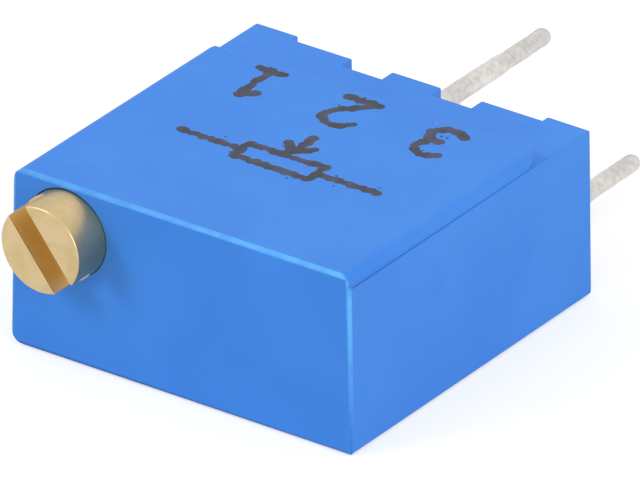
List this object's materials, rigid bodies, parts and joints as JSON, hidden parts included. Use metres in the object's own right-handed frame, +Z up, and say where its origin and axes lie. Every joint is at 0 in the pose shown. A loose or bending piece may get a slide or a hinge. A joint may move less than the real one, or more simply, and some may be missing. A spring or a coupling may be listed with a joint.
{
  "type": "trimmer potentiometer",
  "caption": "Square multi-turn trimmer potentiometer: a moulded housing with a slotted adjustment screw at one edge and round terminals for a circuit board at the opposite edge.",
  "frame": {"origin": "centre of the plain large face, on which the part lies", "axes": "+X along the screw face towards the side away from the screw, +Y from the screw face towards the terminals, +Z up from the plain face to the face with the raised panel"},
  "size_m": [0.0096, 0.0158, 0.0045],
  "materials": {
    "housing_plastic": "fine moulded texture, satin",
    "turned_brass": "turned, bright",
    "seal_rubber": "matt",
    "clip_bronze": "stamped sheet",
    "rotor_plastic": "natural moulded",
    "contact_alloy": "stamped precious alloy",
    "ceramic": "fired, matt",
    "cermet": "fired film",
    "printed_conductor": "fired film",
    "tinned_wire": "hot tinned, slightly uneven",
    "solder": "smooth",
    "dam_plastic": "moulded",
    "potting_resin": "cast, smooth"
  },
  "bodies": {
    "case": {"housing": "housing_plastic", "screw_retainer": "clip_bronze", "ceramic_substrate": "ceramic", "resistive_track": "cermet", "collector_track": "printed_conductor", "end_pad_1": "printed_conductor", "end_pad_3": "printed_conductor", "terminal_1": "tinned_wire", "terminal_2": "tinned_wire", "terminal_3": "tinned_wire", "solder_joint_1": "solder", "solder_joint_2": "solder", "solder_joint_3": "solder", "resin_dam": "dam_plastic", "end_seal": "potting_resin"},
    "adjuster": {"adjustment_screw": "turned_brass", "screw_o_ring": "seal_rubber"},
    "rotor": {"worm_wheel": "rotor_plastic", "wiper_contact": "contact_alloy"}
  },
  "joints": [
    {"name": "screw_turn", "type": "hinge", "parent": "case", "child": "adjuster", "pos_m": [-0.00314, 0, 0.0033], "axis": [0, 1, 0], "range_deg": [-4455, 4455]},
    {"name": "wheel_turn", "type": "hinge", "parent": "case", "child": "rotor", "pos_m": [0.00042, -0.00092, 0.0033], "axis": [0, 0, 1], "range_deg": [-135, 135]}
  ],
  "couplings": [
    {"joint": "wheel_turn", "follows": "screw_turn", "ratio": 0.030303}
  ]
}
